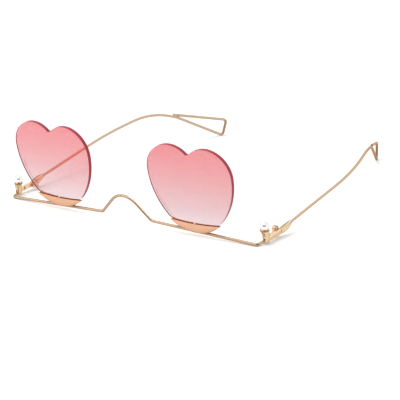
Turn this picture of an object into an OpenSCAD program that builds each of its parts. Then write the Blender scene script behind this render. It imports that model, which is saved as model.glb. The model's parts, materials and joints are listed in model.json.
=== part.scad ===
// Heart shaped sunglasses: a bent wire front, two heart lenses held from below by crescent
// holders, a pearl on a post at each end of the front, and folding wire temples with looped tips.
// X runs across the face, the front looks towards -Y, the temples reach back along +Y, Z is up.
// Right and left are as seen from in front, so the right side is at +X.

/* [Wire] */
// Thickness of the round wire of the front and the temples
wire_d = 1.3; // [1.2:0.05:1.4]

/* [Front] */
// Distance from the middle plane to a corner of the bar
corner_x = 70; // [68:0.5:72]
// Distance from the middle plane to a foot of the bridge
foot_x = 14.1; // [13.5:0.1:15]
// Angle at which the bar climbs towards the bridge
bar_rise = 2.46; // [2:0.1:3]
// Angle at which the bar comes forward towards the bridge
bar_wrap = 1.95; // [1:0.1:3]
// Slope of the bridge's two legs
bridge_slope = 46; // [42:1:50]
// Forward lean of the bridge
bridge_lean = 12; // [6:1:16]
// Bend radius at the bridge's top
bridge_bend_r = 9.5; // [8:0.5:11]
// Bend radius at the bridge's feet
foot_bend_r = 1.6; // [1.2:0.1:2.5]
// Bend radius at the bar's corners
corner_bend_r = 1; // [0.9:0.1:1.3]

/* [Lenses] */
// Distance from the middle plane to the middle of a lens
lens_x = 38.9; // [38:0.1:40]
// Forward tilt of the lens's top
lens_tilt = 9; // [6:1:12]
// Thickness of a lens
lens_t = 1.9; // [1.6:0.1:2.2]
// Radius of the heart's two lobes
lobe_r = 12.95; // [12.6:0.05:13.2]
// Distance from the heart's middle line to a lobe's centre
lobe_x = 9.6; // [9.3:0.1:10]
// Height of the lobes' centres above the bar's wire
lobe_y = 28.1; // [27.5:0.1:28.5]
// Radius of the heart's flanks
flank_r = 33; // [32:0.1:34]
// Radius of the heart's bottom
heel_r = 26; // [25.5:0.1:27]
// Height of the heart's lowest point above the bar's wire
heel_y = 2.14; // [2:0.01:2.3]
// Radius of the notch between the lobes
notch_r = 1.2; // [0.8:0.1:1.6]

/* [Lens holders] */
// Half width of a holder
holder_half_w = 13.1; // [12.9:0.1:13.3]
// Height of the holder's ends above the bar's wire
holder_top = 5.2; // [5.1:0.1:5.4]
// Dip of the holder's top edge at its middle
holder_dip = 0.7; // [0.6:0.1:0.9]
// Height of the flat face at each end of the holder
holder_end_h = 0.75; // [0.6:0.05:0.9]
// Depth of the holder's lowest point below the wire's middle
holder_low = 0.27; // [0.2:0.01:0.35]
// Thickness of the holder's wall on each side of the lens
flange_t = 0.55; // [0.45:0.05:0.7]
// Distance by which the back wall is lower than the front wall
back_drop = 1; // [0.6:0.1:1.4]

/* [Lens pins] */
// Thickness of the pin through the lens
pin_d = 0.5; // [0.4:0.05:0.6]
// Width of the pin's two heads
pin_head_d = 0.9; // [0.8:0.05:1]
// Height of each head
pin_head_h = 0.2; // [0.15:0.05:0.3]

/* [End pieces] */
// Lean of the end pieces, which climb towards the back
end_tilt = 3.6; // [3:0.1:4.5]
// Gap between the bar's corner and the block, seen from in front
block_gap = 1.1; // [1:0.1:1.3]
// Thickness of the block
block_w = 1.6; // [1.5:0.1:1.8]
// Height of the block at its back end
block_h = 2.2; // [2.1:0.1:2.4]
// Distance from the bar's corner back to the block's end
seam_y = 15.25; // [14.8:0.05:15.6]
// Distance from the bar's corner back to the middle of the post
post_y = 5; // [4.8:0.1:5.2]
// Radius of the post at its foot
post_foot_r = 1.35; // [1.3:0.05:1.45]
// Radius of the post at its neck
post_neck_r = 1.5; // [1.4:0.05:1.6]
// Radius of the cup's rim
rim_r = 2.1; // [2:0.05:2.2]
// Height of the neck
neck_z = 3.8; // [3.5:0.1:4]
// Height of the rim
rim_z = 5.55; // [5.4:0.05:5.7]
// Depth of the cup
cup_depth = 0.4; // [0.3:0.05:0.5]
// Thickness of the cup's wall at the rim
cup_wall = 0.42; // [0.4:0.01:0.5]

/* [Pearls] */
// Width of a pearl
pearl_d = 4.1; // [3.9:0.05:4.2]
// Thickness of the peg that carries the pearl
peg_d = 0.8; // [0.7:0.05:0.9]

/* [Hinges] */
// Radius of the knuckles
knuckle_r = 1.45; // [1.4:0.01:1.5]
// Height of one knuckle
knuckle_h = 0.85; // [0.8:0.01:0.87]
// Thickness of the hinge screw
shank_d = 1; // [0.9:0.05:1.1]
// Width of the screw's head
screw_head_d = 2.5; // [2.3:0.1:2.7]
// Height of the screw's head
screw_head_h = 0.7; // [0.5:0.05:0.8]
// Thickness of the hinge leaves
leaf_t = 0.6; // [0.5:0.05:0.65]
// Length of the front leaf
front_leaf_len = 6; // [5:0.1:6.5]
// Length of the temple leaf
temple_leaf_len = 4.5; // [4:0.1:5]

/* [Temples] */
// Length of the butt between the hinge and the wire
butt_len = 8.6; // [8:0.1:9.2]
// Length of the wire from the butt to the first bend
straight_len = 53.4; // [50:0.2:56]
// Length of the wire between the two bends
curve_len = 28.3; // [28:0.1:30]
// Length of the wire from the second bend to the loop's joint
drop_len = 15; // [14.5:0.1:16]
// Climb of the temple wire
temple_climb = 9.8; // [9:0.1:10.5]
// Inward turn after the first bend
first_turn = 14.5; // [13:0.5:15]
// Inward turn after the second bend, which is also the loop's direction
second_turn = 26; // [25:0.5:27]
// Fall of the wire between the second bend and the joint
temple_fall = 19; // [17:0.5:20]
// Radius of the first bend
first_bend_r = 126; // [110:1:128]
// Radius of the second bend
second_bend_r = 42; // [36:1:43]

/* [Loops] */
// Distance from the joint to the loop's lower corner
loop_low_len = 26.5; // [25:0.1:27.5]
// Distance from the joint to the loop's upper corner
loop_high_len = 29; // [28:0.1:30]
// Height of the upper corner above the lower one
loop_h = 8.1; // [7.6:0.1:8.8]
// Bend radius of the loop's corners
loop_bend_r = 1.6; // [1.3:0.1:2]
// Distance from the joint forward to the wire's cut end
tail_len = 2.2; // [1.8:0.1:3]

/* [Hidden] */

// Colours
gold = [0.84, 0.70, 0.55];
peach_gold = [0.88, 0.71, 0.57];
pink = [0.95, 0.68, 0.72, 0.75];
pearl_white = [0.96, 0.95, 0.94];
steel = [0.75, 0.70, 0.62];

// Smoothness of the round shapes, in sides of a full circle or steps of a bend
wire_sides = 28;
bore_sides = 48;
ball_sides = 64;
heart_sides = 160;
hull_sides = 32;
bend_steps = 9;

// Clearances and overruns
over = 0.5;
lens_fit = 0.02;
pearl_fit = 0.02;
turning_fit = 0.04;
level_gap = 0.04;
swing_gap = 0.05;
seam_gap = 0.05;

// Wire and bar
wire_r = wire_d / 2;
bend_thinning = 0.01;
bend_lap = 0.05;

// Point on the middle of the right bar, at a distance x from the middle plane
function bar_at(x) = [x, -(corner_x - x) * tan(bar_wrap), (corner_x - x) * tan(bar_rise)];

bar_corner = bar_at(corner_x);
bar_foot = bar_at(foot_x);
bridge_h = foot_x * tan(bridge_slope);
bridge_top = [0, bar_foot.y - bridge_h * sin(bridge_lean), bar_foot.z + bridge_h * cos(bridge_lean)];

// Short leg of the front wire behind each corner, and how far it sits in the post
leg_out = 0.9;
leg_back = 3.2;
leg_up = 0.6;
leg_sunk = 1.5;
leg_way = unit([leg_out, leg_back, leg_up]);
leg_end = bar_corner + leg_way * (norm([leg_out, leg_back, leg_up]) + leg_sunk);

function mirrored(p) = [-p.x, p.y, p.z];

front_path = [leg_end, bar_corner, bar_foot, bridge_top, mirrored(bar_foot), mirrored(bar_corner), mirrored(leg_end)];
front_bends = [corner_bend_r, foot_bend_r, bridge_bend_r, foot_bend_r, corner_bend_r];

// Heart
flank_x = lobe_x + lobe_r - flank_r;
heel_centre_y = heel_y + heel_r;
notch_y = lobe_y + sqrt(pow(lobe_r + notch_r, 2) - pow(lobe_x, 2));

// Holder: its bottom is an arc through both lower ends, its top a shallow hollow arc
end_low_y = holder_top - holder_end_h;
holder_rise = end_low_y + holder_low;
holder_arc_r = (pow(holder_half_w, 2) + pow(holder_rise, 2)) / (2 * holder_rise);
hollow_r = (pow(holder_half_w, 2) + pow(holder_dip, 2)) / (2 * holder_dip);
holder_t = lens_t + 2 * flange_t;
holder_mid_y = holder_top - holder_dip;

// Lens pin, with a small ear on each wall of the holder
ear_wall = 0.3;
ear_rise = 0.1;
pin_y = holder_mid_y + ear_rise;
ear_r = pin_d / 2 + ear_wall;
relief_lap = 0.05;

// End piece
block_x = corner_x + block_gap;
outer_x = block_x + block_w;
block_low = 0.25;
block_front_h = 2.05;
post_foot_drop = 0.3;
corner_back = 1.4;
corner_size = 0.3;
cup_r = rim_r - cup_wall;
cup_floor = rim_z - cup_depth;
foot_x_in = 1.35;
neck_x_in = 1.5;
rim_x_in = 1.9;
pearl_x = outer_x - rim_x_in;
pearl_r = pearl_d / 2;
peg_r = peg_d / 2;
pearl_sink = 0.09;
pearl_z = cup_floor - pearl_sink + pearl_r;
peg_down = 0.95;
peg_up = 0.35;
peg_low = cup_floor - peg_down;
peg_high = pearl_z + peg_up;
vent_r = 0.3;
vent_depth = 0.9;
vent_x_in = 1.2;
vent_z = 1.6;
slit_w = 0.22;
slit_depth = 0.3;
slit_low = 3.05;
slit_len = 1.8;
slit_slant = 20;
slit_x_in = 1.25;

// Hinge
hinge_x = block_x - swing_gap - knuckle_r;
hinge_inset = 0.15;
hinge_y = seam_y - hinge_inset;
barrel_z = 0.05;
leaf_z = 0.5;
leaf_h = 1.7;
shank_r = shank_d / 2;
screw_head_r = screw_head_d / 2;
driver_slot_w = 0.35;
driver_slot_depth = 0.3;

// Height of the underside of a knuckle, counted from below
function knuckle_z(level) = barrel_z + level * (knuckle_h + level_gap);

barrel_top = knuckle_z(2) + knuckle_h;

// Butt: stations along it, each with its low edge, high edge, thickness and corner radius,
// as shares of the butt's length, the block's height, the same, and the block's thickness
butt_shares = [
    [0, 0, 1, 1, 0.1],
    [0.26, -0.01, 1.23, 1.15, 0.2],
    [0.49, 0.07, 1.39, 1.21, 0.32],
    [0.72, 0.27, 1.5, 1.19, 0.42],
    [0.9, 0.54, 1.52, 1.1, 0.48],
    [1, 0.73, 1.47, 1, 0.49]
];
butt_y = seam_y + seam_gap;
station_t = 0.02;
entry_share = 1.1;
socket_len = 3;

// Place in the whole part of a point given in the end piece's own leaning frame
function from_end(p) = [
    p.x,
    p.y * cos(end_tilt) - p.z * sin(end_tilt),
    p.y * sin(end_tilt) + p.z * cos(end_tilt)
];

// Temple wire
function heading(turned, climb) = [-sin(turned) * cos(climb), cos(turned) * cos(climb), sin(climb)];

wire_entry = from_end([block_x + block_w / 2, butt_y + butt_len, block_low + block_h * entry_share]);
wire_start = wire_entry - heading(0, temple_climb) * socket_len;
first_bend = wire_entry + heading(0, temple_climb) * straight_len;
second_bend = first_bend + heading(first_turn, temple_climb) * curve_len;
loop_joint = second_bend + heading(second_turn, -temple_fall) * drop_len;

// The loop stands upright and its lower corner rests at the level of the bar's corners
low_corner_drop = 0.6;
joint_bend_r = 6;
tail_lift = 1.1;
loop_low = [
    loop_joint.x - loop_low_len * sin(second_turn),
    loop_joint.y + loop_low_len * cos(second_turn),
    -low_corner_drop
];
loop_high = [
    loop_joint.x - loop_high_len * sin(second_turn),
    loop_joint.y + loop_high_len * cos(second_turn),
    loop_low.z + loop_h
];
tail_end = loop_joint - heading(second_turn, -temple_fall) * tail_len + [0, 0, tail_lift];
temple_path = [wire_start, first_bend, second_bend, loop_joint, loop_low, loop_high, tail_end];
temple_bends = [first_bend_r, second_bend_r, joint_bend_r, loop_bend_r, loop_bend_r];

// Frame: the origin is the middle of the part's underside
lens_reach = lobe_r * norm([sin(bar_wrap), sin(lens_tilt) * cos(bar_wrap)]);
front_y = bar_at(lens_x).y - lobe_x * sin(bar_wrap) - lobe_y * sin(lens_tilt) * cos(bar_wrap)
    - lens_t / 2 * cos(lens_tilt) * cos(bar_wrap) - lens_reach;
back_y = bend_centre(temple_path, 5, loop_bend_r).y + loop_bend_r * cos(second_turn) + wire_r;
middle_y = (front_y + back_y) / 2;

// The part's own frame, and the same mirrored for the left side
module place() {
    translate([0, -middle_y, wire_r])
        children();
}

module on_left() {
    mirror([1, 0, 0])
        place()
            children();
}

// Bent wire
function unit(v) = v / norm(v);
function way(path, i) = unit(path[i + 1] - path[i]);
function bend_angle(path, i) = acos(way(path, i - 1) * way(path, i));

// Distance from point i at which a straight length ends, a little past the start of the bend
function setback(path, bends, i) =
    i == 0 || i == len(path) - 1 ? 0 : bends[i - 1] * tan(bend_angle(path, i) / 2) - bend_lap;
function bend_start(path, i, r) = path[i] - way(path, i - 1) * r * tan(bend_angle(path, i) / 2);
function bend_inward(path, i) = unit(way(path, i) - way(path, i - 1) * cos(bend_angle(path, i)));
function bend_centre(path, i, r) = bend_start(path, i, r) + bend_inward(path, i) * r;

// Round bar from one point to another
module rod(from, to, r, sides = wire_sides) {
    span = to - from;
    translate(from)
        rotate([0, acos(span.z / norm(span)), atan2(span.y, span.x)])
            cylinder(h = norm(span), r = r, $fn = sides);
}

// Bend of the wire at point i of the path
module bend(path, i, bend_r, r) {
    centre = bend_centre(path, i, bend_r);
    outward = -bend_inward(path, i);
    along = way(path, i - 1);
    axis = cross(outward, along);
    angle = bend_angle(path, i);
    multmatrix([
        [outward.x, along.x, axis.x, centre.x],
        [outward.y, along.y, axis.y, centre.y],
        [outward.z, along.z, axis.z, centre.z],
        [0, 0, 0, 1]
    ])
        rotate_extrude(angle = angle, $fn = bend_steps * 360 / angle)
            translate([bend_r, 0])
                circle(r = r, $fn = wire_sides);
}

// Wire along a path, with one bend radius for each inner point; it thins a little in its bends
module bent_wire(path, bends, r) {
    for (i = [0 : len(path) - 2]) {
        rod(
            path[i] + way(path, i) * setback(path, bends, i),
            path[i + 1] - way(path, i) * setback(path, bends, i + 1),
            r
        );
    }
    for (i = [1 : len(path) - 2]) {
        bend(path, i, bends[i - 1], r - bend_thinning);
    }
}

// Frame of the lens: its x runs along the lens, its y up it, and its z comes forward
module on_lens() {
    translate(bar_at(lens_x))
        rotate([0, 0, bar_wrap])
            rotate([90 + lens_tilt, 0, 0])
                children();
}

// Outline of the lens, grown by extra all round
module heart(extra = 0) {
    half_w = lobe_x + lobe_r + extra;
    for (side = [-1, 1]) {
        translate([side * lobe_x, lobe_y])
            circle(r = lobe_r + extra, $fn = heart_sides);
    }
    intersection() {
        translate([flank_x, lobe_y])
            circle(r = flank_r + extra, $fn = 2 * heart_sides);
        translate([-flank_x, lobe_y])
            circle(r = flank_r + extra, $fn = 2 * heart_sides);
        translate([0, heel_centre_y])
            circle(r = heel_r + extra, $fn = 2 * heart_sides);
        translate([-half_w, 0])
            square([2 * half_w, lobe_y]);
    }
    difference() {
        polygon([[-lobe_x, lobe_y], [lobe_x, lobe_y], [0, notch_y]]);
        translate([0, notch_y])
            circle(r = notch_r - extra, $fn = heart_sides);
    }
}

// Outline of the holder
module crescent() {
    difference() {
        intersection() {
            translate([0, holder_arc_r - holder_low])
                circle(r = holder_arc_r, $fn = 2 * heart_sides);
            translate([-holder_half_w, -holder_low])
                square([2 * holder_half_w, holder_top + holder_low]);
        }
        translate([0, holder_mid_y + hollow_r])
            circle(r = hollow_r, $fn = 8 * heart_sides);
    }
    translate([0, pin_y])
        circle(r = ear_r, $fn = bore_sides);
}

// Space above the lower back wall, which leaves a tab for the pin
module back_relief() {
    difference() {
        translate([0, holder_mid_y - back_drop + hollow_r])
            circle(r = hollow_r, $fn = 8 * heart_sides);
        translate([0, pin_y])
            circle(r = ear_r, $fn = bore_sides);
        translate([-ear_r, 0])
            square([2 * ear_r, pin_y]);
    }
}

module lens() {
    color(pink)
        on_lens()
            difference() {
                linear_extrude(height = lens_t, center = true)
                    heart();
                cylinder_through(pin_y, pin_d / 2, lens_t);
            }
}

// Cut through a plate that lies in the frame of the lens, on its middle line
module cylinder_through(y, r, plate_t) {
    translate([0, y, -plate_t / 2 - over])
        cylinder(h = plate_t + 2 * over, r = r, $fn = bore_sides);
}

module lens_holder() {
    color(peach_gold)
        difference() {
            on_lens()
                difference() {
                    linear_extrude(height = holder_t, center = true)
                        crescent();
                    linear_extrude(height = lens_t + 2 * lens_fit, center = true)
                        heart(lens_fit);
                    translate([0, 0, -holder_t / 2 - over])
                        linear_extrude(height = over + flange_t - lens_fit + relief_lap)
                            back_relief();
                    cylinder_through(pin_y, pin_d / 2, holder_t);
                }
            rod(bar_at(lens_x + holder_half_w), bar_at(lens_x - holder_half_w), wire_r);
        }
}

module lens_pin() {
    color(gold)
        on_lens() {
            translate([0, pin_y, -holder_t / 2 - pin_head_h])
                cylinder(h = holder_t + 2 * pin_head_h, r = pin_d / 2, $fn = bore_sides);
            for (z = [-holder_t / 2 - pin_head_h, holder_t / 2]) {
                translate([0, pin_y, z])
                    cylinder(h = pin_head_h, r = pin_head_d / 2, $fn = bore_sides);
            }
        }
}

// Leaning frame of the end piece and the hinge
module on_end() {
    rotate([end_tilt, 0, 0])
        children();
}

// Slice of the post: a round part towards the nose and a square corner at the back outside
module post_slice(x_in, r, z) {
    translate([outer_x - x_in, post_y, z])
        cylinder(h = station_t, r = r, $fn = hull_sides);
    translate([outer_x - corner_size, post_y + corner_back - corner_size, z])
        cube([corner_size, corner_size, station_t]);
}

module post() {
    intersection() {
        union() {
            hull() {
                post_slice(foot_x_in, post_foot_r, -post_foot_drop);
                post_slice(neck_x_in, post_neck_r, neck_z);
            }
            hull() {
                post_slice(neck_x_in, post_neck_r, neck_z);
                post_slice(rim_x_in, rim_r, rim_z - station_t);
            }
        }
        translate([outer_x - 3 * rim_r, post_y - 2 * rim_r, -post_foot_drop])
            cube([3 * rim_r, 4 * rim_r, rim_z + post_foot_drop]);
    }
}

module block() {
    translate([block_x, 0, 0])
        rotate([90, 0, 90])
            linear_extrude(height = block_w)
                polygon([[post_y, 0], [seam_y, block_low], [seam_y, block_low + block_h], [post_y, block_front_h]]);
}

// Cuts in the end piece: the pearl's cup, its peg's bore, the vent and the slit in front
module end_cuts() {
    translate([pearl_x, post_y, cup_floor])
        cylinder(h = cup_depth + over, r = cup_r, $fn = bore_sides);
    translate([pearl_x, post_y, pearl_z])
        sphere(r = pearl_r + pearl_fit, $fn = ball_sides);
    translate([pearl_x, post_y, peg_low])
        cylinder(h = peg_down + over, r = peg_r, $fn = bore_sides);
    translate([outer_x - vent_x_in, post_y - post_foot_r - over, vent_z])
        rotate([-90, 0, 0])
            cylinder(h = over + vent_depth, r = vent_r, $fn = bore_sides);
    translate([outer_x - slit_x_in, post_y - post_neck_r - over, slit_low])
        rotate([0, -slit_slant, 0])
            cube([slit_w, slit_depth + over, slit_len]);
}

module end_piece() {
    color(gold)
        difference() {
            on_end()
                difference() {
                    union() {
                        post();
                        block();
                    }
                    end_cuts();
                }
            rod(bar_corner, leg_end, wire_r);
        }
}

module pearl() {
    color(pearl_white)
        on_end()
            translate([pearl_x, post_y, pearl_z])
                difference() {
                    sphere(r = pearl_r, $fn = ball_sides);
                    translate([0, 0, -pearl_r - over])
                        cylinder(h = pearl_r + over + peg_up, r = peg_r, $fn = bore_sides);
                }
}

module pearl_peg() {
    color(steel)
        on_end()
            translate([pearl_x, post_y, peg_low])
                cylinder(h = peg_high - peg_low, r = peg_r, $fn = bore_sides);
}

// Upright cylinder on the hinge's axis
module on_axis(z, h, r) {
    translate([hinge_x, hinge_y, z])
        cylinder(h = h, r = r, $fn = bore_sides);
}

// Hinge leaf from y with the given length, which keeps clear of the other leaf's knuckles
module leaf(y, length, own, other, bore_r) {
    difference() {
        union() {
            translate([block_x - leaf_t, y, leaf_z])
                cube([leaf_t, length, leaf_h]);
            for (level = own) {
                on_axis(knuckle_z(level), knuckle_h, knuckle_r);
            }
        }
        for (level = other) {
            on_axis(knuckle_z(level) - level_gap, knuckle_h + 2 * level_gap, knuckle_r + swing_gap);
        }
        on_axis(barrel_z - over, barrel_top - barrel_z + 2 * over, bore_r);
    }
}

module front_hinge_leaf() {
    color(gold)
        on_end()
            leaf(hinge_y - front_leaf_len, front_leaf_len, [0, 2], [1], shank_r);
}

module temple_hinge_leaf() {
    color(gold)
        on_end()
            leaf(butt_y, temple_leaf_len, [1], [0, 2], shank_r + turning_fit);
}

module hinge_screw() {
    slot_z = barrel_top + screw_head_h - driver_slot_depth;
    color(steel)
        on_end()
            difference() {
                union() {
                    on_axis(barrel_z, barrel_top - barrel_z, shank_r);
                    on_axis(barrel_top, screw_head_h, screw_head_r);
                }
                translate([hinge_x - screw_head_r - over, hinge_y - driver_slot_w / 2, slot_z])
                    cube([2 * (screw_head_r + over), driver_slot_w, driver_slot_depth + over]);
            }
}

// Slice of the butt: a square with round corners that stands on the block's inner face
module butt_slice(share) {
    corner = share[4] * block_w;
    y = butt_y + share[0] * butt_len;
    low = block_low + share[1] * block_h + corner;
    high = block_low + share[2] * block_h - corner;
    for (x = [block_x + corner, block_x + share[3] * block_w - corner]) {
        for (z = [low, high]) {
            translate([x, y, z])
                rotate([-90, 0, 0])
                    cylinder(h = station_t, r = corner, $fn = hull_sides);
        }
    }
}

module temple_butt() {
    color(gold)
        difference() {
            on_end()
                hull() {
                    for (share = butt_shares) {
                        butt_slice(share);
                    }
                }
            rod(wire_start, wire_entry + heading(0, temple_climb) * over, wire_r);
        }
}

module front_wire() {
    color(gold)
        bent_wire(front_path, front_bends, wire_r);
}

module temple_wire() {
    color(gold)
        bent_wire(temple_path, temple_bends, wire_r);
}

place() front_wire();
place() lens();  // lens_right
on_left() lens();  // lens_left
place() lens_holder();  // lens_holder_right
on_left() lens_holder();  // lens_holder_left
place() lens_pin();  // lens_pin_right
on_left() lens_pin();  // lens_pin_left
place() end_piece();  // end_piece_right
on_left() end_piece();  // end_piece_left
place() pearl();  // pearl_right
on_left() pearl();  // pearl_left
place() pearl_peg();  // pearl_peg_right
on_left() pearl_peg();  // pearl_peg_left
place() front_hinge_leaf();  // front_hinge_leaf_right
on_left() front_hinge_leaf();  // front_hinge_leaf_left
place() hinge_screw();  // hinge_screw_right
on_left() hinge_screw();  // hinge_screw_left
place() temple_hinge_leaf();  // temple_hinge_leaf_right
on_left() temple_hinge_leaf();  // temple_hinge_leaf_left
place() temple_butt();  // temple_butt_right
on_left() temple_butt();  // temple_butt_left
place() temple_wire();  // temple_wire_right
on_left() temple_wire();  // temple_wire_left
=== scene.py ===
"""Looks of the heart shaped sunglasses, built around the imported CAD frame.

Pieces are shaped in millimetres in the frame of the bar, where x is 0 in the middle plane and y and
z are 0 at the level of the bar's corners, and then carried into the part's own frame in metres.
"""

from __future__ import annotations

import json
import logging
import math
from dataclasses import dataclass
from enum import Enum
from functools import cache
from typing import Any, Sequence

import bmesh
import bpy
from bpy.types import ID, Material, MeshPolygon, Node, NodeSocket, Object, World
from mathutils import Color, Euler, Matrix, Vector

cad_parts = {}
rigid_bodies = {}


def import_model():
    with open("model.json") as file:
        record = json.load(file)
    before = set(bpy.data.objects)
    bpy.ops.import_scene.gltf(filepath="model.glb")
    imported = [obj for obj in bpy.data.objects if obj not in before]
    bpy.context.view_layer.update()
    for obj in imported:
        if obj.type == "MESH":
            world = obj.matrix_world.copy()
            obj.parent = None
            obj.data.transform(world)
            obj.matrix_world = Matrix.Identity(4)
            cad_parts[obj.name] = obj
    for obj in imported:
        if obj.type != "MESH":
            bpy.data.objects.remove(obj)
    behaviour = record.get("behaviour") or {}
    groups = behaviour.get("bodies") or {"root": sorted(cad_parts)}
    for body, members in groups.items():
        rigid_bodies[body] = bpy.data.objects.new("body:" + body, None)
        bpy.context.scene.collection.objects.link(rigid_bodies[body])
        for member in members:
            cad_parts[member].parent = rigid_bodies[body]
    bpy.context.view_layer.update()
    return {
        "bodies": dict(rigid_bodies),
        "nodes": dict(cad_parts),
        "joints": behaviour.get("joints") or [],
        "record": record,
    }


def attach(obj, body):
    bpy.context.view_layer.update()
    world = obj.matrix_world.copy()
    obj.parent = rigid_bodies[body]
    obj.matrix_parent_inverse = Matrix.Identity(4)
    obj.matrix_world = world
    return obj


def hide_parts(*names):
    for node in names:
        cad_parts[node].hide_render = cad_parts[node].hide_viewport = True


LOG = logging.getLogger("sunglasses")
MM = 0.001
SOFT_ANGLE = 35.0
FINE_DETAIL = 3.0
TINY = 1e-9
X, Y, Z = (Vector(way) for way in ((1, 0, 0), (0, 1, 0), (0, 0, 1)))
Rgb = tuple[int, int, int]
Pair = tuple[float, float]
Triple = tuple[float, float, float]
Ring = list[Vector]
Options = dict[Any, Any] | None


class Side(Enum):
    """Side of the sunglasses, as seen from in front."""

    RIGHT = 1
    LEFT = -1


def tint(red: int, green: int, blue: int) -> tuple[float, ...]:
    """Turns a colour as a screen shows it, from 0 to 255, into the one that shaders use."""
    return (*Color((red / 255, green / 255, blue / 255)).from_srgb_to_scene_linear(), 1.0)


# Shader nodes


class Tap:
    """Output of a shader node, with the arithmetic that adds Math nodes."""

    def __init__(self, shader: Shader, socket: NodeSocket) -> None:
        """Keeps the socket, and the shader whose tree holds it."""
        self.shader = shader
        self.socket = socket

    def _math(self, operation: str, first: Any, second: Any, clamp: bool = False) -> Tap:
        """Adds one Math node, and keeps its result between 0 and 1 where clamp is true."""
        return self.shader.tap("Math", 0, {0: first, 1: second}, {"operation": operation, "use_clamp": clamp})

    def __add__(self, other: Any) -> Tap:
        """Sum of the two."""
        return self._math("ADD", self, other)

    def __sub__(self, other: Any) -> Tap:
        """Difference of the two."""
        return self._math("SUBTRACT", self, other)

    def __rsub__(self, other: Any) -> Tap:
        """Difference with a number in front."""
        return self._math("SUBTRACT", other, self)

    def __mul__(self, other: Any) -> Tap:
        """Product of the two."""
        return self._math("MULTIPLY", self, other)

    def __pow__(self, other: Any) -> Tap:
        """Power of the tap."""
        return self._math("POWER", self, other)

    __radd__ = __add__
    __rmul__ = __mul__

    def held(self) -> Tap:
        """The same value, kept between 0 and 1."""
        return self._math("ADD", self, 0.0, clamp=True)

    def between(self, low: float, high: float) -> Tap:
        """Share of the way from one value to another, kept between 0 and 1."""
        return ((self - low) * (1.0 / (high - low))).held()

    def ranged(self, low: float, high: float) -> Tap:
        """Value that runs from low to high while this one runs from 0 to 1."""
        return self * (high - low) + low

    def swing(self, width: float) -> Tap:
        """Value that swings about 0, as wide as given, while this one runs from 0 to 1."""
        return (self - 0.5) * width


class Shader:
    """Node tree of a material or a world, with one method for every kind of node."""

    def __init__(self, owner: Material | World) -> None:
        """Empties the owner's tree.

        Args:
            owner: Material or world that gets the nodes.
        """
        owner.use_nodes = True
        self.owner = owner
        self.tree = owner.node_tree
        self.tree.nodes.clear()

    def node(self, kind: str, inputs: Options = None, settings: Options = None) -> Node:
        """Adds a node.

        Args:
            kind: Blender's name of the node's type, without ShaderNode in front.
            inputs: Values or taps for the node's inputs, by name or number.
            settings: Properties of the node, set first.

        Returns:
            The new node.
        """
        made = self.tree.nodes.new(f"ShaderNode{kind}")
        for key, value in (settings or {}).items():
            setattr(made, key, value)
        for key, value in (inputs or {}).items():
            if isinstance(value, Tap):
                self.tree.links.new(value.socket, made.inputs[key])
            else:
                made.inputs[key].default_value = value
        return made

    def tap(self, kind: str, output: Any = 0, inputs: Options = None, settings: Options = None) -> Tap:
        """Adds a node and takes one of its outputs, by name or number."""
        return Tap(self, self.node(kind, inputs, settings).outputs[output])

    def part(self, source: str, axis: str) -> Tap:
        """One axis of the place on the piece in metres, called Object, or of the surface's Normal."""
        return self.tap("SeparateXYZ", axis, {0: self.tap("TexCoord", source)})

    def noise(self, size_mm: float, detail: float = 2.0, stretch: Triple = (1, 1, 1)) -> Tap:
        """Soft random pattern.

        Args:
            size_mm: Size of its spots in millimetres.
            detail: Number of finer layers.
            stretch: How much longer the spots are along each axis.

        Returns:
            The pattern, from 0 to 1.
        """
        scale = tuple(1.0 / (size_mm * MM * s) for s in stretch)
        spread = self.tap("Mapping", 0, {"Vector": self.tap("TexCoord", "Object"), "Scale": scale})
        return self.tap("TexNoise", 0, {"Vector": spread, "Scale": 1.0, "Detail": detail})

    def blend(self, share: Any, first: Tap | Rgb, second: Tap | Rgb) -> Tap:
        """Mixes two colours by the share of the second."""
        a, b = (tint(*colour) if isinstance(colour, tuple) else colour for colour in (first, second))
        return self.tap("Mix", 2, {0: share, 6: a, 7: b}, {"data_type": "RGBA", "clamp_factor": True})

    def grazing(self, start: float, end: float) -> Tap:
        """Share by which a face turns its edge to the eye, 0 at the start and 1 at the end."""
        return self.tap("LayerWeight", "Facing").between(start, end)

    def nook(self, reach_mm: float) -> Tap:
        """Openness of a spot: 1 on open faces, towards 0 in corners and gaps within reach."""
        return self.tap("AmbientOcclusion", "AO", {"Distance": reach_mm * MM}, {"samples": 8})

    def bump(self, height: Tap, depth_mm: float, strength: float) -> Tap:
        """Surface direction bent by a fine relief, of which strength is the share that shows."""
        return self.tap("Bump", 0, {"Strength": strength, "Distance": depth_mm * MM, "Height": height})

    def principled(self, **inputs: Any) -> Tap:
        """Adds the main shader; its inputs have underscores for the spaces in their names."""
        return self.tap("BsdfPrincipled", 0, {key.replace("_", " "): value for key, value in inputs.items()})

    def done(self, surface: Tap, output: str = "OutputMaterial") -> Material | World:
        """Ends the tree with its last surface and gives back what it belongs to."""
        self.node(output, {"Surface": surface})
        return self.owner


# Finishes


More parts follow.
